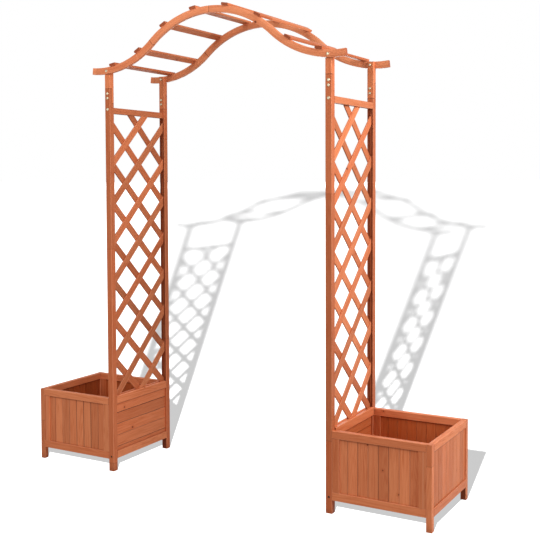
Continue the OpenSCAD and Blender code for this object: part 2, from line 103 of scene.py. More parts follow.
class Field:
    """A value inside a finish, on which sums are written as in Python."""

    __add__, __radd__ = operation("ADD"), operation("ADD", True)
    __sub__, __rsub__ = operation("SUBTRACT"), operation("SUBTRACT", True)
    __mul__, __rmul__ = operation("MULTIPLY"), operation("MULTIPLY", True)
    __truediv__, __rtruediv__ = operation("DIVIDE"), operation("DIVIDE", True)
    __abs__, floor, sign = operation("ABSOLUTE"), operation("FLOOR"), operation("SIGN")
    least, most, over = operation("MINIMUM"), operation("MAXIMUM"), operation("GREATER_THAN")
    root, sine = operation("SQRT"), operation("SINE")

    def __init__(self, bench: "FinishBench", socket: bpy.types.NodeSocket) -> None:
        """Wrap one output socket of a finish."""
        self.bench = bench
        self.socket = socket

    def ease(self, low: Number, high: Number) -> "Field":
        """Smooth step.

        Args:
            low: Value that gives nought.
            high: Value that gives one.

        Returns:
            The step.
        """
        values = {"Value": self, "From Min": low, "From Max": high}
        node = self.bench.node("MapRange", values, interpolation_type="SMOOTHSTEP")
        return self.bench.out(node, "Result")

    def fade(self, low: Number, high: Number) -> "Field":
        """Smooth step from one at low to nought at high."""
        return 1.0 - self.ease(low, high)


class FinishBench:
    """The nodes of one finish, lamp or surround, added one by one."""

    def __init__(self, owner: Union[Material, bpy.types.Light, bpy.types.World]) -> None:
        """Clear the nodes.

        Args:
            owner: The material, lamp or world that has them.
        """
        owner.use_nodes = True
        self.owner = owner
        self.tree = owner.node_tree
        self.tree.nodes.clear()
        self.colour: Any = None

    def node(
        self, kind: str, values: Optional[Dict[Any, Any]] = None, **settings: Any
    ) -> bpy.types.Node:
        """Add a node.

        Args:
            kind: Type of the node, after ShaderNode.
            values: Values or fields for its sockets, by name or number.
            settings: Its properties, which are set first.

        Returns:
            The node.
        """
        node = self.tree.nodes.new("ShaderNode" + kind)
        for name, value in settings.items():
            setattr(node, name, value)
        for key, value in (values or {}).items():
            if isinstance(value, Field):
                self.tree.links.new(value.socket, node.inputs[key])
            else:
                node.inputs[key].default_value = value
        return node

    def out(self, node: bpy.types.Node, key: Union[str, int] = 0) -> Field:
        """One output of a node as a field."""
        return Field(self, node.outputs[key])

    def math(self, kind: str, *values: Number) -> Field:
        """Result of a Math node on numbers or fields."""
        return self.out(self.node("Math", dict(enumerate(values)), operation=kind))

    def vector(self, x: Number, y: Number, z: Number) -> Field:
        """Three values as one vector."""
        return self.out(self.node("CombineXYZ", {0: x, 1: y, 2: z}))

    def grey(self, level: Number) -> Field:
        """The grey of a level."""
        return self.vector(level, level, level)

    def split(self, vector: Field) -> List[Field]:
        """The three values of a vector."""
        node = self.node("SeparateXYZ", {0: vector})
        return [self.out(node, i) for i in range(3)]

    def place(self) -> Field:
        """Coordinates of the object."""
        return self.out(self.node("TexCoord"), "Object")

    def mix(self, share: Number, first: Any, second: Any) -> Field:
        """Colour between the first at share nought and the second at share one."""
        node = self.node("Mix", {0: share, 6: first, 7: second}, data_type="RGBA")
        return self.out(node, 2)

    def lay(self, share: Number, colour: Any) -> None:
        """Lay a colour over a share of the colour so far."""
        self.colour = self.mix(share, self.colour, colour)

    def relief(self, height: Field, depth: float) -> Field:
        """Bumps of a depth in metres, for a shader's Normal."""
        return self.out(self.node("Bump", {"Distance": depth, "Height": height}))

    def seen(self) -> Field:
        """Rays that show a background, straight, in gloss or through glass.

        Returns:
            One on these rays and nought on others.
        """
        path = self.node("LightPath")
        rays = [self.out(path, f"Is {kind} Ray") for kind in ("Camera", "Glossy", "Transmission")]
        return rays[0].most(rays[1]).most(rays[2])

    def finish(self, shader: str, values: Dict[str, Any]) -> Any:
        """Put a shader at the end of the nodes.

        Args:
            shader: Type of its node, after ShaderNode.
            values: Values or fields for its sockets.

        Returns:
            The material, lamp or world.
        """
        surface = self.out(self.node(shader, values))
        self.node("Output" + self.owner.id_type.title(), {"Surface": surface})
        return self.owner


@dataclass(frozen=True)
class Side:
    """A direction across a timber, with the middle and half width of the timber in it."""

    axis: Axis
    centre: float
    half: float
    mirrored: bool = True
    pitch: float = 0.0

    def local(self, place: Sequence[Field]) -> Tuple[Field, Number]:
        """Distance from the timber's middle line, and the number of the board.

        Args:
            place: The three coordinates.

        Returns:
            The distance, and the board's number where boards repeat.
        """
        value = abs(place[self.axis.value]) if self.mirrored else place[self.axis.value]
        if not self.pitch:
            return value - self.centre, 0.0
        steps = (value - self.centre) / self.pitch
        number = steps.floor()
        return (steps - number - 0.5) * self.pitch, number


Sides = Tuple[Side, Side]


def boards(axis: Axis, first: float, pitch: float, mirrored: bool = False) -> Side:
    """The direction across a row of boards, from its first seam."""
    return Side(axis, first, pitch / 2, mirrored, pitch)


@dataclass(frozen=True)
class Figure:
    """A noise in a surface, with its scale along and across the grain."""

    along: float
    across: float
    detail: float = 2.0
    roughness: float = 0.5

    def at(self, place: Sequence[Field], shifts: Sequence[Number] = (0.0, 0.0, 0.0)) -> Field:
        """The noise, from nought to one.

        Args:
            place: Place along, across and through the piece.
            shifts: How far the noise is moved in each of the three.

        Returns:
            The noise.
        """
        bench = place[0].bench
        scales = (self.along, self.across, self.across)
        where = [value * scale + shift for value, scale, shift in zip(place, scales, shifts)]
        values = {"Vector": bench.vector(*where), "Scale": 1.0, "Detail": self.detail}
        return bench.out(bench.node("TexNoise", {**values, "Roughness": self.roughness}))


@dataclass(frozen=True)
class Timber:
    """Stained softwood: grain, growth rings, knots, tone of each board, worn edges and painted
    shade.
    """

    name: str
    along: Axis
    across: Side
    depth: Side
    apart: Tuple[Axis, ...] = (X,)
    seed: float = 0.0
    tone: float = 1.0
    spread: float = 0.22
    knots: float = 0.35
    jointed: float = 0.0
    seams: float = 0.0
    warmth: float = 0.0
    turn: float = 0.0
    bent: bool = False
    stagger: float = 0.37
    comb: float = 0.008
    marks: Tuple[Tuple[float, int], ...] = ()
    splices: Tuple[float, ...] = ()
    # Painted shade inside the planters: the side of the boards that inside names takes a share of a
    # dark red colour.
    inside: int = 0
    inside_shade_share: float = 0.63
    painted_shade_strips: Tuple[Pair, ...] = ()
    painted_rail_shade: Tuple[float, ...] = ()
    painted_ledge_shade: float = 0.0
    ends: float = 0.75
    painted_foot_shade: bool = False
    painted_inside_shade: Colour = paint(160, 66, 0)
    painted_shade_colour: Colour = paint(96, 34, 14)
    pale: Colour = paint(226, 137, 92)
    deep: Colour = paint(198, 104, 62)
    red: Colour = paint(184, 86, 46)
    knot: Colour = paint(92, 42, 26)
    worn: Colour = paint(238, 160, 122)
    end_grain: Colour = paint(140, 66, 42)
    rings: Figure = Figure(1.5, 30.0)
    streaks: Figure = Figure(5.0, 150.0, 4.0, 0.6)
    drift: Figure = Figure(2.2, 12.0)
    fibres: Figure = Figure(40.0, 1100.0, 2.0, 0.7)
    ring_count: float = 92.0
    knot_cells: float = 7.0
    fingers: float = 180.0
    worn_edge: Pair = (0.0004, 0.0030)
    seam_edge: Pair = (0.0006, 0.0024)
    mark_edge: Pair = (0.0006, 0.0013)
    splice_edge: Pair = (0.0008, 0.0020)
    shade_strip_edge: Pair = (0.0015, 0.0035)
    joint_edge: Pair = (0.0014, 0.0004)
    shade_strip_margin: float = 0.0012
    lap_depth: float = -0.001
    rail_shade_run: Pair = (0.004, 0.009)
    foot_shade_run: float = 0.030
    smallest_knot: float = 0.018
    knot_growth: float = 0.022
    knot_shift: float = 31.0
    figure_shift: float = 13.0
    relief: float = 0.0007
    gloss: float = 0.08

    def make(self) -> Material:
        """Build the finish and give its material."""
        return TimberBench(self).build()


class TimberBench(FinishBench):
    """The nodes of one timber's finish, with its places and the luck of its boards."""

    def __init__(self, timber: Timber) -> None:
        """Find each place in the timber and the luck of its board.

        Args:
            timber: The timber.
        """
        super().__init__(bpy.data.materials.new(timber.name + "_timber"))
        self.timber = timber
        self.room = self.split(self.place())
        grain = self._follow()
        self.along = grain[timber.along.value]
        self.across, self.number = timber.across.local(grain)
        self.depth = timber.depth.local(grain)[0]
        self.rim = timber.across.half - abs(self.across)
        self.joint: Number = 0.0
        self.luck = self._throw()

    def _follow(self) -> List[Field]:
        """Find what the grain follows.

        Returns:
            Three coordinates, straightened in a bent timber.
        """
        if self.timber.bent:
            straight = self.node("Attribute", attribute_name="straightened")
            return self.split(self.out(straight, "Vector"))
        if not self.timber.turn:
            return self.room
        turn = {"Vector": self.place(), "Rotation": (self.timber.turn, 0.0, 0.0)}
        return self.split(self.out(self.node("Mapping", turn)))

    def _throw(self) -> List[Field]:
        """Draw lots for each board, or for each length of it between finger joints.

        Returns:
            Three values from nought to one.
        """
        t = self.timber
        sides: Number = t.seed
        for i, axis in enumerate(t.apart):
            sides = self.room[axis.value].sign() * (i + 1.0) + sides
        length: Number = 0.0
        if t.jointed:
            comb = self.across * t.fingers + 100.0
            comb = abs(comb - (comb + 0.5).floor())
            shift = (self.number + sides) * t.stagger
            run = self.along / t.jointed + comb * (t.comb / t.jointed) + shift
            length = run.floor()
            low, high = [0.5 - width / t.jointed for width in t.joint_edge]
            self.joint = abs(run - length - 0.5).ease(low, high)
        seed = {"Vector": self.vector(self.number, sides, length)}
        luck = self.node("TexWhiteNoise", seed, noise_dimensions="3D")
        return self.split(self.out(luck, "Color"))

    def _knots(self) -> Tuple[Field, Field]:
        """Scatter knots over the boards.

        Returns:
            Hearts of the knots, and the halo in which the rings part round them.
        """
        t = self.timber
        along = self.along * t.knot_cells + self.luck[0] * t.knot_shift
        across = self.across * t.knot_cells + self.luck[1] * t.knot_shift
        values = {"Vector": self.vector(along, across, 0.0), "Scale": 1.0}
        cells = self.node("TexVoronoi", values, voronoi_dimensions="2D")
        far = self.out(cells, "Distance")
        which = self.split(self.out(cells, "Color"))
        size = which[1] * t.knot_growth + t.smallest_knot
        present = 1.0 - which[0].over(t.knots)
        return far.fade(size * 0.75, size * 1.15) * present, far.fade(size, size * 4.5) * present

    def build(self) -> Material:
        """Lay the colours over each other and finish the surface.

        Returns:
            The material.
        """
        t = self.timber
        grain = (self.along, self.across, self.depth)
        heart, halo = self._knots()
        first, second, third = [value * t.figure_shift for value in self.luck]
        growth = t.rings.at(grain, (first, second, third)) + halo * 0.28
        lines = (growth * t.ring_count).sine() * 0.5 + 0.5
        streaks = t.streaks.at(grain, (second, third, 0.0))
        drift = t.drift.at(grain, (third, first, 0.0))
        fibres = t.fibres.at(grain, (first, 0.0, 0.0))

        share = (lines * 0.24 + streaks * 0.80 + drift * 0.56 - 0.59).ease(0.0, 0.70)
        self.colour = self.mix(share, t.pale, t.deep)
        self.lay(self.luck[2] * t.spread * 1.6 + t.warmth, t.red)
        self.lay(halo * 0.35, t.red)
        edge = self.rim.most(t.depth.half - abs(self.depth)).fade(*t.worn_edge)
        self.lay(edge * (drift * 0.9 + 0.1) * 0.7, t.worn)
        self.lay(heart * 0.85, t.knot)
        self._draw_lines()
        self._darken()
        strength = self.grey((self.luck[1] - 0.5) * t.spread + (t.tone - 0.06) + fibres * 0.12)
        toned = self.node("VectorMath", {0: self.colour, 1: strength}, operation="MULTIPLY")
        height = streaks * 0.45 + lines * 0.15 + fibres * 0.4 - heart * 0.3
        values = {
            "Base Color": self.out(toned),
            "Roughness": streaks * 0.16 + share * 0.08 + 0.42,
            "Specular IOR Level": t.gloss,
            "Normal": self.relief(height, t.relief),
        }
        return self.finish("BsdfPrincipled", values)

    def _draw_lines(self) -> None:
        """Draw the finger joints, seams, lap lines and glue lines."""
        t = self.timber
        if t.jointed:
            self.lay(self.joint * 0.4, t.knot)
        # Dark seams between the boards: stain gathered in the V-grooves, and painted shade in them.
        if t.seams:
            deepest = self.luck[0] * self.luck[0] * 0.6 + 0.15
            self.lay(self.rim.fade(*t.seam_edge) * (deepest * t.seams), t.knot)
        for height, side in t.marks:
            line = abs(self.along - height).fade(*t.mark_edge)
            if side:
                line = line * (self.depth * side).over(t.lap_depth * side)
            self.lay(line * 0.8, t.knot)
        for height in t.splices:
            self.lay(abs(self.along - height).fade(*t.splice_edge) * 0.6, t.worn)

    def _darken(self) -> None:
        """Paint shade inside, on the posts, by the rails, on ledges and at feet; darken the ends.
        """
        t, level = self.timber, self.room[2]
        # Painted shade on the inner side of the boards and stiles, where the planter shades them.
        if t.inside:
            self.lay((self.depth * t.inside).over(0.0) * t.inside_shade_share, t.painted_inside_shade)
        # Painted shade in strips on the posts' inner faces: beside the lattice, and low on the legs
        # under the planter.
        for low, high in t.painted_shade_strips:
            within = (self.depth * -1.0).over(t.depth.half - t.shade_strip_margin)
            within = within * self.along.over(low)
            within = within * self.rim.ease(*t.shade_strip_edge) * (1.0 - self.along.over(high))
            self.lay(within * 0.8, t.painted_shade_colour)
        # Painted shade on the boards just under the top rail and just above the low rail.
        if t.painted_rail_shade:
            low, high = t.painted_rail_shade
            above, below = t.rail_shade_run
            under = level.fade(low, low + above) * 0.2
            self.lay(under.most(level.ease(high - below, high) * 0.6), t.painted_shade_colour)
        # Painted shade: the post is darker towards its foot, near the floor.
        if t.painted_foot_shade:
            self.lay(self.along.fade(0.0, t.foot_shade_run) * 0.4, t.end_grain)
        way = self.split(self.out(self.node("NewGeometry"), "Normal"))
        # Painted shade on faces that look up, such as the low rails' ledges.
        if t.painted_ledge_shade:
            self.lay(way[2].ease(0.4, 0.9) * t.painted_ledge_shade, t.painted_shade_colour)
        self.lay(abs(way[t.along.value]).ease(0.86, 0.93) * t.ends, t.end_grain)


@dataclass(frozen=True)
class Metal:
    """Plated steel with faint handling marks."""

    name: str
    bright: Colour
    dull: Colour
    roughness: float
    marks: Figure = Figure(240.0, 240.0, 4.0, 0.6)
    grain: Figure = Figure(2600.0, 2600.0)
    relief: float = 0.00004

    def make(self) -> Material:
        """Build the finish.

        Returns:
            The material.
        """
        bench = FinishBench(bpy.data.materials.new(self.name))
        place = bench.split(bench.place())
        marks = self.marks.at(place)
        values = {
            "Base Color": bench.mix(marks.ease(0.35, 0.75), self.bright, self.dull),
            "Roughness": marks * 0.22 + (self.roughness - 0.08),
            "Metallic": 1.0,
            "Normal": bench.relief(self.grain.at(place), self.relief),
        }
        return bench.finish("BsdfPrincipled", values)


def take(*pieces: Piece) -> None:
    """Leave edit mode and select some pieces alone.

    Args:
        pieces: The pieces, with the one that is to be active first, or none.
    """
    if bpy.context.mode != "OBJECT":
        bpy.ops.object.mode_set(mode="OBJECT")
    bpy.ops.object.select_all(action="DESELECT")
    for piece in pieces:
        piece.select_set(True)
    if pieces:
        bpy.context.view_layer.objects.active = pieces[0]


def add(primitive: Callable[..., Any], name: str, placing: Matrix, **sizes: float) -> Piece:
    """Add a primitive and put its place in its mesh.

    Args:
        primitive: Its operator.
        name: Name of the piece.
        placing: Its place, and its size where the operator has none.
        sizes: Sizes for the operator.

    Returns:
        The piece.
    """
    take()
    primitive(**sizes)
    piece = bpy.context.view_layer.objects.active
    piece.name = piece.data.name = name
    piece.data.transform(placing)
    return piece


def block(name: str, size: Triple, placing: Matrix = IN_PLACE) -> Piece:
    """A block of a size round the middle of a placing."""
    stretch = placing @ Matrix.Diagonal((*size, 1.0))
    return add(bpy.ops.mesh.primitive_cube_add, name, stretch, size=1.0)


def section(name: str, size: Pair, placing: Matrix = IN_PLACE) -> Piece:
    """A flat section of a size in a placing's XY plane."""
    stretch = placing @ Matrix.Diagonal((*size, 1.0, 1.0))
    return add(bpy.ops.mesh.primitive_plane_add, name, stretch, size=1.0)


def disc(name: str, radius: float, height: float, sides: int = 32) -> Piece:
    """A round or many-sided blank that stands on the plane z = 0."""
    sizes = {"vertices": sides, "radius": radius, "depth": height}
    return add(bpy.ops.mesh.primitive_cylinder_add, name, moved(0.0, 0.0, height / 2), **sizes)


def edit(piece: Piece, wanted: Optional[Callable[[Any], bool]] = None, kind: str = "FACE") -> None:
    """Enter edit mode with all or some faces or edges selected.

    Args:
        piece: The piece.
        wanted: Which of them to select, or all.
        kind: FACE or EDGE.
    """
    take(piece)
    bpy.ops.object.mode_set(mode="EDIT")
    bpy.ops.mesh.select_mode(type=kind)
    bpy.ops.mesh.select_all(action="SELECT" if wanted is None else "DESELECT")
    if wanted is not None:
        bpy.ops.object.mode_set(mode="OBJECT")
        for part in piece.data.edges if kind == "EDGE" else piece.data.polygons:
            part.select = wanted(part)
        bpy.ops.object.mode_set(mode="EDIT")


def done(piece: Piece) -> Piece:
    """Leave edit mode with the normals outwards.

    Args:
        piece: The piece in edit mode.

    Returns:
        The piece.
    """
    bpy.ops.mesh.select_all(action="SELECT")
    bpy.ops.mesh.normals_make_consistent(inside=False)
    bpy.ops.object.mode_set(mode="OBJECT")
    return piece


def ease_edges(piece: Piece, width: float, steps: int = 1) -> Piece:
    """Bevel all edges of a piece.

    Args:
        piece: The piece.
        width: Width of the bevel.
        steps: Number of its faces across.

    Returns:
        The piece.
    """
    edit(piece)
    bpy.ops.mesh.bevel(offset=width, segments=steps, affect="EDGES", clamp_overlap=True)
    return done(piece)


def rings(piece: Piece, steps: Iterable[Pair], up: bool = True) -> None:
    """Inset the top or bottom face again and again.

    Args:
        piece: The piece, whose axis is Z.
        steps: Width and height of each inset.
        up: True for the top face.
    """
    sign = 1.0 if up else -1.0
    level = max(f.center.z * sign for f in piece.data.polygons if f.normal.z * sign > 0.9)
    edit(piece, lambda f: f.normal.z * sign > 0.9 and abs(f.center.z * sign - level) < 1e-6)
    for width, rise in steps:
        bpy.ops.mesh.inset(thickness=width, depth=rise)
    done(piece)


def copy(piece: Piece, placing: Matrix) -> Piece:
    """Copy a piece with its mesh.

    Args:
        piece: The piece.
        placing: Place of the copy.

    Returns:
        The copy.
    """
    copied = piece.copy()
    copied.data = piece.data.copy()
    copied.data.transform(placing)
    bpy.context.scene.collection.objects.link(copied)
    return copied


def scatter(pattern: Piece, places: Iterable[Matrix]) -> List[Piece]:
    """Put copies of a pattern in its place.

    Args:
        pattern: The pattern, which is removed.
        places: Places of the copies.

    Returns:
        The copies.
    """
    copies = [copy(pattern, placing) for placing in places]
    bpy.data.objects.remove(pattern)
    return copies


def join(name: str, parts: Sequence[Piece]) -> Piece:
    """Join parts into one piece.

    Args:
        name: Name of the piece.
        parts: The parts.

    Returns:
        The piece.
    """
    take(*parts)
    bpy.ops.object.join()
    parts[0].name = parts[0].data.name = name
    return parts[0]


def smooth(piece: Piece, degrees: float) -> Piece:
    """Shade a piece smooth where its faces meet at a slight angle.

    Args:
        piece: The piece.
        degrees: Angle from which an edge stays sharp.

    Returns:
        The piece.
    """
    take(piece)
    bpy.ops.object.shade_smooth_by_angle(angle=math.radians(degrees))
    return piece


def cut_with(piece: Piece, cutter: Piece) -> None:
    """Cut a recess in a piece.

    Args:
        piece: The piece.
        cutter: Shape of the recess, which is removed.
    """
    take(piece)
    step = piece.modifiers.new("recess", "BOOLEAN")
    step.operation = "DIFFERENCE"
    step.object = cutter
    bpy.ops.object.modifier_apply(modifier=step.name)
    bpy.data.objects.remove(cutter)


def hand_in(piece: Piece, material: Material, slot: str, *nodes: str) -> None:
    """Give a new piece its finish, and let it stand for its solids.

    Args:
        piece: The piece.
        material: Its finish.
        slot: Not used.
        nodes: The solids that it stands for.
    """
    piece.data.materials.clear()
    piece.data.materials.append(material)
    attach(piece, "root")
    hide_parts(*nodes)
    log.info("%s: %d faces", piece.name, len(piece.data.polygons))


@dataclass
class Tower:
    """Middles and half widths of a tower's timbers on the +X side, and their finishes."""

    post: Sides = (Side(X, 0.506, 0.013), Side(Y, 0.187, 0.013))
    corner_post: Sides = (Side(X, 0.889, 0.011), Side(Y, 0.189, 0.011))
    trellis_rail: Sides = (Side(Z, 1.5075, 0.0125, False), Side(X, 0.5095, 0.0095))
    rim_rail: Sides = (Side(Z, 0.297, 0.016, False), Side(X, 0.508, 0.015))
    top_rail: Side = Side(Z, 0.293, 0.014, False)
    low_rail: Side = Side(Z, 0.0655, 0.0155, False)
    outer_end: Side = Side(X, 0.890, 0.010)
    panel: Side = Side(Y, 0.190, 0.010)
    stile: Side = Side(X, 0.519, 0.0145, True, 0.029)
    panel_board: Sides = (boards(X, 0.5402, 0.039575, True), Side(Y, 0.190, 0.005))
    outer_board: Sides = (boards(Y, 0.0, 0.039575), Side(X, 0.890, 0.005))
    passage_board: Sides = (boards(Z, 0.2888, 0.048), Side(X, 0.506, 0.005))
    floor_board: Sides = (Side(X, 0.523, 0.0353, True, 0.0706), Side(Z, 0.07, 0.005, False))
    batten: Sides = (Side(Z, 0.0575, 0.0075, False), Side(Y, 0.1725, 0.0075))
    cross_slat: Sides = (Side(X, 0.009, 0.065, True, 0.132), Side(Z, 1.8, 0.005, False))
    dowel: Sides = (Side(Z, 0.0, 0.003, False), Side(Y, 0.190, 0.003))
    lap_lines: Tuple[Tuple[float, int], ...] = ((1.5966, 1), (1.5370, -1))
    # Heights of the painted shade strips on the posts' inner faces: on the legs and beside the
    # lattice.
    foot_shade_strip: Pair = (-0.01, 0.048)
    lattice_shade_strip: Pair = (0.312, 1.495)
    # Heights of the low rail's top and the top rail's bottom, beside which the boards get painted
    # shade.
    painted_rail_shade: Pair = (0.081, 0.279)
    passage_rail_shade: Pair = (0.081, 0.281)

    def finishes(self) -> Dict[str, Timber]:
        """Finish of every solid that stays.

        Returns:
            The finishes, by words of the nodes' names. A node takes the first that fits.
        """
        one, both, laps = (X,), (X, Y), self.lap_lines
        top, low, end, panel = self.top_rail, self.low_rail, self.outer_end, self.panel
        return {
            "tall_post": Timber(
                "post", Z, *self.post, both, 2.892, 0.86, jointed=0.9, warmth=0.28,
                marks=laps, painted_shade_strips=(self.foot_shade_strip, self.lattice_shade_strip), painted_foot_shade=True,
            ),
            "connector": Timber("connector", Z, *self.post, both, 7.3, 0.98, marks=laps),
            "corner_post": Timber(
                "corner_post", Z, *self.corner_post, both, 11.9, 0.96, jointed=0.24,
                ends=0.12, painted_shade_strips=(self.foot_shade_strip,), painted_foot_shade=True,
            ),
            "trellis_rail": Timber("trellis_rail", Y, *self.trellis_rail, one, 2.7, 0.82),
            "passage_rim_rail": Timber("rim_rail", Y, *self.rim_rail, one, 5.3, 1.02),
            "passage_bottom_rail": Timber(
                "passage_low_rail", Y, low, self.post[0], one, 8.9, 0.98, painted_ledge_shade=0.3
            ),
            "outer_top_rail": Timber("outer_top_rail", Y, top, end, one, 14.2, 1.04),
            "outer_bottom_rail": Timber("outer_low_rail", Y, low, end, one, 17.6, 1.0, painted_ledge_shade=0.3),
            "_top_rail_": Timber("top_rail", X, top, panel, both, 19.4, 1.04),
            "_bottom_rail_": Timber("low_rail", X, low, panel, both, 23.8, 1.0, painted_ledge_shade=0.3),
            "_stiles_": Timber(
                "stile", Z, self.stile, panel, both, 29.5, 0.94, inside=-1, inside_shade_share=0.42
            ),
            "outer_boards": Timber(
                "outer_board", Z, *self.outer_board, one, 37.1, 0.86, spread=0.2,
                seams=0.9, inside=-1, painted_rail_shade=self.painted_rail_shade,
            ),
            "passage_boards": Timber(
                "passage_board", Y, *self.passage_board, one, 41.3, 1.05, spread=0.2,
                seams=1.6, warmth=0.1, inside=1, inside_shade_share=0.5, painted_rail_shade=self.passage_rail_shade,
            ),
            "floor_boards": Timber("floor_board", Y, *self.floor_board, one, 43.9, 0.92),
            "_boards_": Timber(
                "panel_board", Z, *self.panel_board, both, 31.7, 0.98, spread=0.21,
                seams=1.3, inside=-1, painted_rail_shade=self.painted_rail_shade,
            ),
            "floor_battens": Timber("batten", X, *self.batten, both, 47.7, 0.92),
            "cross_slats": Timber(
                "cross_slat", Y, *self.cross_slat, one, 53.04, 0.96, spread=0.3, jointed=0.33
            ),
            "dowels": Timber("dowel", X, *self.dowel, both, 59.1, 1.1, knots=0.0),
        }

    def dress(self, nodes: Dict[str, Piece]) -> None:
        """Give every solid that stays its finish.

        Args:
            nodes: The solids by name.
        """
        left = dict(nodes)
        for word, timber in self.finishes().items():
            material = timber.make()
            for name in [n for n in left if word in n]:
                node = left.pop(name)
                node.data.materials.clear()
                node.data.materials.append(material)
                log.info("%s: %s", name, timber.name)


@dataclass
class Lattice:
    """Two layers of crossed slats in the groove between the rim rail and the trellis rail."""

    face_x: float = 0.501
    thick: float = 0.005
    width: float = 0.030
    row: float = 0.164
    half_y: float = 0.1818
    half_gap: float = 0.174
    low: float = 0.3052
    high: float = 1.5028
    first: float = 1.453
    count: int = 8
    chamfer: float = 0.0007

    @property
    def slope(self) -> float:
        """Angle of the slats above the level."""
        return math.atan(self.row / self.half_gap)

    def layer(self, name: str, x: float, way: int) -> Piece:
        """One layer, trimmed to the groove.

        Args:
            name: Name of the layer.
            x: Its face towards the passage.
            way: 1 where the slats rise to the rear, -1 where they fall.

        Returns:
            The layer.
        """
        tilt = Matrix.Rotation(way * self.slope, 4, "X")
        slat = block("slat", (self.thick, 4 * self.half_y, self.width))
        heights = [self.first - i * self.row for i in range(self.count)]
        places = [moved(x + self.thick / 2, 0.0, z) @ tilt for z in heights]
        piece = join(name, scatter(ease_edges(slat, self.chamfer, 2), places))
        trims = (
            ((0, self.half_y, 0), (0, 1, 0)),
            ((0, -self.half_y, 0), (0, -1, 0)),
            ((0, 0, self.high), (0, 0, 1)),
            ((0, 0, self.low), (0, 0, -1)),
        )
        for point, outwards in trims:
            edit(piece)
            bpy.ops.mesh.bisect(plane_co=point, plane_no=outwards, use_fill=True, clear_outer=True)
            done(piece)
        return piece

    def finish(self, way: int) -> Material:
        """Finish of the slats that slope one way.

        Args:
            way: 1 where the slats rise to the rear, -1 where they fall.

        Returns:
            The material.
        """
        # The falling slats take a darker tone than the rising ones: painted shade on the layer
        # behind.
        name, seed, tone = ("rising", 61.7, 0.94) if way > 0 else ("falling_shaded", 67.9, 0.81)
        pitch = self.row * math.cos(self.slope)
        start = self.first * math.cos(self.slope) - pitch / 2
        sides = (
            Side(Z, start, self.width / 2, False, pitch),
            Side(X, self.face_x + self.thick, self.thick),
        )
        return Timber(
            "lattice_" + name, Y, *sides, (X,), seed, tone, spread=0.3, knots=0.2,
            turn=-way * self.slope,
        ).make()

    def build(self) -> None:
        """Model and dress the four layers."""
        rising, falling_shaded = self.finish(1), self.finish(-1)
        inner = self.layer("inner_slats_right", self.face_x, -1)
        outer = self.layer("outer_slats_right", self.face_x + self.thick, 1)
        inner_left, outer_left = copy(inner, HALF_TURN), copy(outer, HALF_TURN)
        inner_left.name, outer_left.name = "inner_slats_left", "outer_slats_left"
        hand_in(inner, falling_shaded, "lattice_wood", "lattice_inner_right")
        hand_in(outer, rising, "lattice_wood", "lattice_outer_right")
        hand_in(inner_left, rising, "lattice_wood", "lattice_inner_left")
        hand_in(outer_left, falling_shaded, "lattice_wood", "lattice_outer_left")


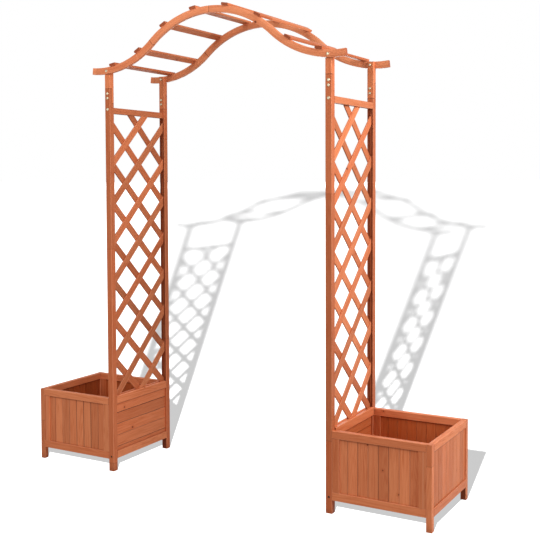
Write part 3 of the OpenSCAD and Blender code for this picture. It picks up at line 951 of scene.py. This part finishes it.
@dataclass
class Arch:
    """Two ogee beams, each of two halves that meet at the crest."""

    crest_z: float = 1.4602
    low_x: float = 0.535
    low_z: float = 2.055
    radius: float = 0.400
    height: float = 0.027
    thick: float = 0.016
    middle_y: float = 0.198
    tail: float = 0.043
    glue_line: float = 0.0001
    chamfer: float = 0.0012
    steps: int = 36
    splice_run: float = 0.088
    slat_half: float = 0.015

    @property
    def bend(self) -> float:
        """Angle at which the two arcs meet."""
        return math.asin(self.low_x / (2 * self.radius))

    @property
    def crest_run(self) -> float:
        """Radius of the beam's middle line over the crest."""
        return self.radius + self.height / 2

    @property
    def low_run(self) -> float:
        """Radius of the beam's middle line over the posts."""
        return self.radius - self.height / 2

    def arc(self, x: float, z: float, radius: float, start: float, sweep: float) -> Piece:
        """Part of a ring, spun from a section with eased corners.

        Args:
            x: Level place of the ring's middle.
            z: Height of the ring's middle.
            radius: Radius at the middle of the section.
            start: Angle of the first section, from straight up towards +X.
            sweep: Angle that the section is spun through.

        Returns:
            The part.
        """
        middle = Vector((x, self.middle_y, z))
        turn = Matrix.Rotation(start, 4, "Y")
        out = moved(0.0, 0.0, radius) @ Matrix.Rotation(PI / 2, 4, "Y")
        placing = Matrix.Translation(middle) @ turn @ out
        piece = section("arc", (self.height, self.thick), placing)
        edit(piece)
        bpy.ops.mesh.bevel(offset=self.chamfer, segments=2, affect="VERTICES")
        bpy.ops.mesh.select_all(action="SELECT")
        bpy.ops.mesh.spin(steps=self.steps, angle=-sweep, center=middle, axis=(0.0, 1.0, 0.0))
        return done(piece)

    def straighten(self, piece: Piece) -> None:
        """Note on each point how far along, across and up the beam it lies.

        Args:
            piece: The right rear half, in its place.
        """
        place = piece.data.attributes.new("straightened", "FLOAT_VECTOR", "POINT")
        middle_z = (self.crest_z + self.low_z) / 2
        for i, point in enumerate(piece.data.vertices):
            x, y, z = point.co
            if x < self.low_x / 2 + (z - middle_z) * math.tan(self.bend):
                along = self.crest_run * math.atan2(x, z - self.crest_z)
                up = math.hypot(x, z - self.crest_z) - self.crest_run
            else:
                angle = math.atan2(self.low_x - x, self.low_z - z)
                along = self.crest_run * self.bend + self.low_run * (self.bend - angle)
                up = self.low_run - math.hypot(x - self.low_x, z - self.low_z)
            place.data[i].vector = (along, y - self.middle_y, up)

    def half(self) -> Piece:
        """The right rear half, of two arcs glued end to end.

        Returns:
            The half.
        """
        glue = math.asin(self.glue_line / 2 / self.radius)
        tail = math.asin(self.tail / self.radius)
        sweep = self.bend - glue
        crest = self.arc(0.0, self.crest_z, self.crest_run, 0.0, sweep)
        low = self.arc(self.low_x, self.low_z, self.low_run, PI - tail, sweep + tail)
        piece = smooth(join("beam", [crest, low]), 24.0)
        self.straighten(piece)
        return piece

    def finish(self, node: str) -> Timber:
        """Finish of one half, which follows its bend.

        Args:
            node: The half's solid. Only the left halves show the glue line between their arcs.

        Returns:
            The finish.
        """
        joint = self.crest_run * self.bend if "left" in node else 0.0
        sides = (Side(Z, 0.0, self.height / 2, False), Side(Y, 0.0, self.thick / 2, False))
        # The rear halves take a darker tone than the front ones: painted shade on the rear beam.
        return Timber(
            node, X, *sides, (X, Y), 71.3, 1.10 if "front" in node else 0.91,
            jointed=joint, stagger=0.0, comb=0.0, bent=True,
            marks=((joint, 0), (0.0, 0)) if joint else ((0.0, 0),),
            splices=(joint + self.splice_run,) if joint else (),
            pale=paint(232, 147, 103), deep=paint(208, 116, 75),
        )

    def build(self) -> None:
        """Model and dress the four halves."""
        half = self.half()
        across = moved(0.0, -2 * self.middle_y, 0.0)
        places = {
            "beam_right_rear": IN_PLACE,
            "beam_right_front": across,
            "beam_left_front": HALF_TURN,
            "beam_left_rear": across.inverted() @ HALF_TURN,
        }
        for piece, node in zip(scatter(half, places.values()), places):
            piece.name = node.replace("beam", "bent_beam")
            hand_in(piece, self.finish(node).make(), "beam_wood", node)

    def slat_place(self, x: float, above: float) -> Matrix:
        """Place on top of the beam at a level distance from the crest, square to the beam.

        Args:
            x: Level distance from the crest.
            above: Height above the slat's underside.

        Returns:
            The placing, on the right side.
        """
        crest_top, low_top = self.radius + self.height, self.radius - self.height
        if x < crest_top * math.sin(self.bend):
            turn = math.asin(x / crest_top)
            z, lift = self.crest_z + crest_top * math.cos(turn), 0.0
        else:
            turn = math.asin((self.low_x - x) / low_top)
            z = self.low_z - low_top * math.cos(turn)
            lift = low_top - math.sqrt(low_top**2 - self.slat_half**2)
        tilt = Matrix.Rotation(turn, 4, "Y")
        return moved(x, 0.0, z) @ tilt @ moved(0.0, 0.0, lift + above)


@dataclass
class Fittings:
    """Bolts, cap nuts, screws and splice plates."""

    arch: Arch
    post_x: float = 0.506
    rear_y: float = 0.200
    post_inner_y: float = 0.174
    beam_outer_y: float = 0.206
    lap_zs: Pair = (1.5575, 1.5765)
    beam_bolt_z: float = 1.6685
    trellis_screw_z: float = 1.5115
    low_screw_z: float = 0.061
    low_screw_sunk: float = 0.005
    slat_xs: Tuple[float, ...] = (0.470, 0.341, 0.214, 0.073)
    slat_thick: float = 0.010
    head_r: float = 0.006
    head_h: float = 0.004
    head_rim: float = 0.0006
    bolt_r: float = 0.003
    bolt_past_post: float = 0.005
    rail_screw_r: float = 0.0025
    rail_screw_past_post: float = 0.029
    nut_flats: float = 0.010
    nut_h: float = 0.0045
    nut_dome: float = 0.0046
    dome_foot: float = 0.0002
    nut_chamfer: float = 0.0004
    tip_chamfer: float = 0.0004
    wood_head: Pair = (0.0034, 0.0016)
    wood_shank: Pair = (0.0018, 0.018)
    sunk_head: Pair = (0.0042, 0.003)
    plate: Triple = (0.084, 0.002, 0.016)
    plate_corner: float = 0.0035
    plate_chamfer: float = 0.0002
    plate_z: float = 1.87263
    plate_faces: Pair = (-0.190, 0.206)
    plate_screws: Pair = (0.18, 0.38)

    def dome_bolt(self, shank_r: float, shank_l: float) -> Piece:
        """A domed head on the plane z = 0 with its shank below.

        Args:
            shank_r: Radius of the shank.
            shank_l: Length of the shank.

        Returns:
            The bolt.
        """
        rise = self.head_h - self.head_rim
        ball = (self.head_r**2 + rise**2) / (2 * rise)
        radii = [self.head_r * share for share in (1.0, 0.93, 0.82, 0.66, 0.46, 0.24)]
        heights = [math.sqrt(ball**2 - r**2) for r in radii]
        piece = disc("bolt", self.head_r, self.head_rim)
        rings(piece, [(radii[i] - radii[i + 1], heights[i + 1] - heights[i]) for i in range(5)])
        tip = (self.tip_chamfer, self.tip_chamfer)
        rings(piece, [(self.head_r - shank_r, 0.0), (0.0, shank_l), tip], up=False)
        return smooth(piece, 40.0)

    def cap_nut(self) -> Piece:
        """A hexagon on the plane z = 0 with a dome on it.

        Returns:
            The nut.
        """
        hexagon = disc("nut", self.nut_flats / 2 / math.cos(PI / 6), self.nut_h, 6)
        ease_edges(hexagon, self.nut_chamfer, 2)
        dome = disc("dome", self.nut_dome, self.dome_foot)
        angles = [math.radians(a) for a in (0, 14, 28, 42, 56, 70, 82)]
        points = [(self.nut_dome * math.cos(a), self.nut_dome * math.sin(a)) for a in angles]
        rings(dome, [(r - inner, top - z) for (r, z), (inner, top) in zip(points, points[1:])])
        dome.data.transform(moved(0.0, 0.0, self.nut_h - self.dome_foot))
        return smooth(join("nut", [hexagon, dome]), 40.0)

    def cross_screw(self, head: Pair, shank: Pair) -> Piece:
        """A low head with a cross recess on the plane z = 0, with its shank below.

        Args:
            head: Radius and height of the head.
            shank: Radius and length of the shank.

        Returns:
            The screw.
        """
        (radius, height), (inner, length) = head, shank
        piece = disc("screw", radius, height * 0.7, 28)
        rings(piece, [(radius * 0.14, height * 0.2), (radius * 0.3, height * 0.1)])
        steps = [(radius - inner, 0.0), (0.0, length - inner), (inner * 0.8, inner)]
        rings(piece, steps, up=False)
        for angle in (0.0, PI / 2):
            placing = moved(0.0, 0.0, height) @ Matrix.Rotation(angle, 4, "Z")
            size = (radius * 1.1, radius * 0.2, height * 1.1)
            cut_with(piece, ease_edges(block("cutter", size, placing), radius * 0.04))
        return smooth(piece, 35.0)

    def facing(self, x: float, y: float, z: float, way: float) -> Matrix:
        """A place whose Z runs along +Y or -Y."""
        return moved(x, y, z) @ Matrix.Rotation(-way * PI / 2, 4, "X")

    def at_posts(self, pattern: Piece, y: float, zs: Iterable[float], turn: int = 1) -> List[Piece]:
        """Put a fastener in all four posts.

        Args:
            pattern: The fastener, which is removed.
            y: Distance of its head's seat from the middle.
            zs: Its heights.
            turn: 1 where the head faces outwards, -1 where it faces inwards.

        Returns:
            The fasteners.
        """
        posts = [(sx * self.post_x, sy) for sx in (-1, 1) for sy in (-1, 1)]
        places = [self.facing(x, sy * y, z, sy * turn) for x, sy in posts for z in zs]
        return scatter(pattern, places)

    def build_plates(self) -> Piece:
        """The two splice plates, with rounded corners.

        Returns:
            The plates as one piece.
        """
        blank = block("plate", self.plate)
        level = [point.co.y for point in blank.data.vertices]
        edit(blank, lambda e: level[e.vertices[0]] * level[e.vertices[1]] < 0.0, "EDGE")
        bpy.ops.mesh.bevel(offset=self.plate_corner, segments=5, affect="EDGES")
        ease_edges(done(blank), self.plate_chamfer)
        ys = [y + self.plate[1] / 2 for y in self.plate_faces]
        plates = scatter(blank, [moved(0.0, y, self.plate_z) for y in ys])
        return smooth(join("crest_plates", plates), 35.0)

    def build(self) -> None:
        """Model and dress the fittings."""
        nickel = Metal("nickel", paint(196, 184, 158), paint(128, 114, 92), 0.30).make()
        zinc = Metal("zinc", paint(176, 176, 176), paint(120, 120, 120), 0.38).make()
        dark = Metal("darkened_steel", paint(74, 62, 52), paint(40, 32, 26), 0.45).make()
        grip = self.rear_y - self.post_inner_y
        lap_bolt = self.dome_bolt(self.bolt_r, grip + self.bolt_past_post)
        bolts = self.at_posts(lap_bolt, self.rear_y, self.lap_zs)
        over_beam = self.beam_outer_y - self.post_inner_y + self.bolt_past_post
        beam_bolt = self.dome_bolt(self.bolt_r, over_beam)
        bolts += self.at_posts(beam_bolt, self.beam_outer_y, [self.beam_bolt_z])
        heights = [*self.lap_zs, self.beam_bolt_z]
        nuts = self.at_posts(self.cap_nut(), self.post_inner_y, heights, -1)
        length, sunk_by = grip + self.rail_screw_past_post, self.low_screw_sunk
        rail_screw = self.dome_bolt(self.rail_screw_r, length)
        rails = self.at_posts(rail_screw, self.rear_y, [self.trellis_screw_z])
        low_screw = self.cross_screw(self.sunk_head, (self.rail_screw_r, length - sunk_by))
        sunk = self.at_posts(low_screw, self.rear_y - sunk_by, [self.low_screw_z])
        on_slats = [
            turn
            @ self.arch.slat_place(x, self.slat_thick - self.wood_head[1])
            @ moved(0.0, side * self.arch.middle_y, 0.0)
            for turn in (IN_PLACE, HALF_TURN)
            for x in self.slat_xs
            for side in (-1, 1)
        ]
        on_plates = [
            self.facing(sx * share * self.plate[0], y + self.plate[1], self.plate_z, 1)
            for sx in (-1, 1)
            for y in self.plate_faces
            for share in self.plate_screws
        ]
        wood_screw = self.cross_screw(self.wood_head, self.wood_shank)
        screws = scatter(wood_screw, on_slats + on_plates)
        sets = (
            ("dome_head_bolts", bolts, nickel, "bolt_steel", "dome_bolts"),
            ("cap_nut_set", nuts, nickel, "bolt_steel", "cap_nuts"),
            ("rail_screw_set", rails, nickel, "bolt_steel", "rail_screws"),
            ("sunk_screw_set", sunk, dark, "bolt_steel", "rail_screws"),
            ("wood_screw_set", screws, zinc, "plate_steel", "wood_screws"),
        )
        for name, parts, metal, slot, node in sets:
            hand_in(join(name, parts), metal, slot, node)
        hand_in(self.build_plates(), zinc, "plate_steel", "splice_plates")


@dataclass
class Studio:
    """Pale floor, soft light and the camera."""

    surround: float = 0.38
    floor_side: float = 900.0
    floor_near: float = 0.02
    floor_palest: float = 0.8
    floor_shadow: float = 0.6
    floor_white: float = 1.06
    fade: Pair = (100.0, 160.0)
    lamp_at: Triple = (1.50, -3.20, 1.955)
    lamp_power: float = 4000.0
    lamp_radius: float = 0.028
    panels: Tuple[Tuple[str, float, Triple, float], ...] = (
        ("key_light", 82.0, (2.9, -0.4, 2.3), 1.2),
        ("fill_light", 45.0, (-0.3, -4.2, 1.7), 1.6),
        ("top_light", 9.0, (0.0, -1.3, 2.7), 0.9),
        ("rear_light", 40.0, (-1.7, 3.6, 1.15), 1.6),
    )
    aim: Triple = (0.0, 0.0, 0.95)
    eye: Triple = (1.965, -3.188, 1.219)
    yaw: float = -29.66
    pitch: float = -2.50
    roll: float = -0.21
    focal_pixels: float = 922.0
    frame_pixels: float = 540.0
    axis_row: float = 220.0
    sensor: float = 36.0

    def set_up(self, name: str, data: bpy.types.ID, at: Sequence[float]) -> Piece:
        """Put a camera or lamp in the scene.

        Args:
            name: Its name.
            data: The camera or lamp.
            at: Its place.

        Returns:
            Its object.
        """
        thing = bpy.data.objects.new(name, data)
        thing.location = at
        bpy.context.scene.collection.objects.link(thing)
        return thing

    def camera(self) -> None:
        """Set the camera of the picture, level but for a slight tilt."""
        data = bpy.data.cameras.new("picture_camera")
        data.sensor_width = self.sensor
        data.lens = self.focal_pixels * self.sensor / self.frame_pixels
        data.clip_end = 1000.0
        data.shift_y = (self.axis_row - self.frame_pixels / 2) / self.frame_pixels
        camera = self.set_up("picture_camera", data, self.eye)
        yaw, pitch, roll = (math.radians(a) for a in (self.yaw, self.pitch, self.roll))
        ahead_x, ahead_y = math.sin(yaw) * math.cos(pitch), math.cos(yaw) * math.cos(pitch)
        ahead = Vector((ahead_x, ahead_y, math.sin(pitch)))
        level = Vector((math.cos(yaw), -math.sin(yaw), 0.0))
        above = level.cross(ahead)
        right = math.cos(roll) * level + math.sin(roll) * above
        up = -math.sin(roll) * level + math.cos(roll) * above
        turn = Matrix((right, up, -ahead)).transposed()
        camera.matrix_world = Matrix.Translation(self.eye) @ turn.to_4x4()
        bpy.context.scene.camera = camera

    def low_lamp(self) -> Piece:
        """The small lamp beside the camera that casts the long shadow on the floor.

        Returns:
            The lamp.
        """
        data = bpy.data.lights.new("floor_light", "POINT")
        data.energy = 1.0
        data.shadow_soft_size = self.lamp_radius
        bench = FinishBench(data)
        even = bench.node("LightFalloff", {"Strength": self.lamp_power})
        bench.finish("Emission", {"Strength": bench.out(even, "Constant")})
        return self.set_up("floor_light", data, self.lamp_at)

    def light_object(self, pieces: Sequence[Piece]) -> None:
        """Set the soft square panels, which point at the middle of the object.

        Args:
            pieces: The object's pieces, which the panels alone light.
        """
        for name, power, at, size in self.panels:
            data = bpy.data.lights.new(name, "AREA")
            data.energy, data.size = power, size
            lamp = self.set_up(name, data, at)
            way = Vector(self.aim) - Vector(at)
            lamp.rotation_euler = way.to_track_quat("-Z", "Y").to_euler()
            self.light_only(lamp, pieces)

    def light_only(self, lamp: Piece, pieces: Iterable[Piece]) -> None:
        """Let a lamp light only some pieces.

        Args:
            lamp: The lamp.
            pieces: The pieces.
        """
        group = bpy.data.collections.new(lamp.name + "_lights")
        for piece in pieces:
            group.objects.link(piece)
        lamp.light_linking.receiver_collection = group

    def floor(self) -> Piece:
        """The floor, which looks white and keeps the shadow.

        The lamp's light thins out over the floor, so the floor is paler further away. The floor's
        own glow then leaves the shadow the same grey from near to far.

        Returns:
            The floor.
        """
        floor = section("studio_floor", (self.floor_side, self.floor_side))
        edit(floor)
        bpy.ops.mesh.subdivide(number_cuts=3)
        done(floor)
        bench = FinishBench(bpy.data.materials.new("studio_floor"))
        x, y, _ = bench.split(bench.place())
        over, back = x - self.lamp_at[0], y - self.lamp_at[1]
        reach = (over * over + back * back + self.lamp_at[2] ** 2).root()
        pale = (reach * (self.floor_near / math.hypot(*self.lamp_at))).least(self.floor_palest)
        shadow = pale * -self.surround + self.floor_shadow
        glow = (shadow + (self.floor_white - shadow) * reach.ease(*self.fade)) * bench.seen()
        values = {
            "Base Color": bench.grey(pale),
            "Roughness": 1.0,
            "Specular IOR Level": 0.0,
            "Emission Color": bench.grey(glow),
            "Emission Strength": 1.0,
        }
        floor.data.materials.append(bench.finish("BsdfPrincipled", values))
        floor.visible_diffuse = False
        return floor

    def backdrop(self) -> None:
        """A white surround that gives a plain level of light."""
        world = bpy.data.worlds.new("studio_surround")
        bpy.context.scene.world = world
        bench = FinishBench(world)
        strength = bench.seen() * (1.0 - self.surround) + self.surround
        white = (1.0, 1.0, 1.0, 1.0)
        bench.finish("Background", {"Color": white, "Strength": strength})

    def build(self) -> None:
        """Set the stage once every piece is made."""
        self.backdrop()
        floor = self.floor()
        meshes = [piece for piece in bpy.context.scene.objects if piece.type == "MESH"]
        self.light_object([piece for piece in meshes if piece is not floor])
        self.light_only(self.low_lamp(), [floor])
        self.camera()
        bpy.context.scene.view_settings.view_transform = "Standard"


def main() -> None:
    """Build the object part by part."""
    logging.basicConfig(level=logging.INFO, format="%(message)s")
    Tower().dress(frame["nodes"])
    Lattice().build()
    arch = Arch()
    arch.build()
    Fittings(arch).build()
    Studio().build()


if __name__ == "__main__":
    main()
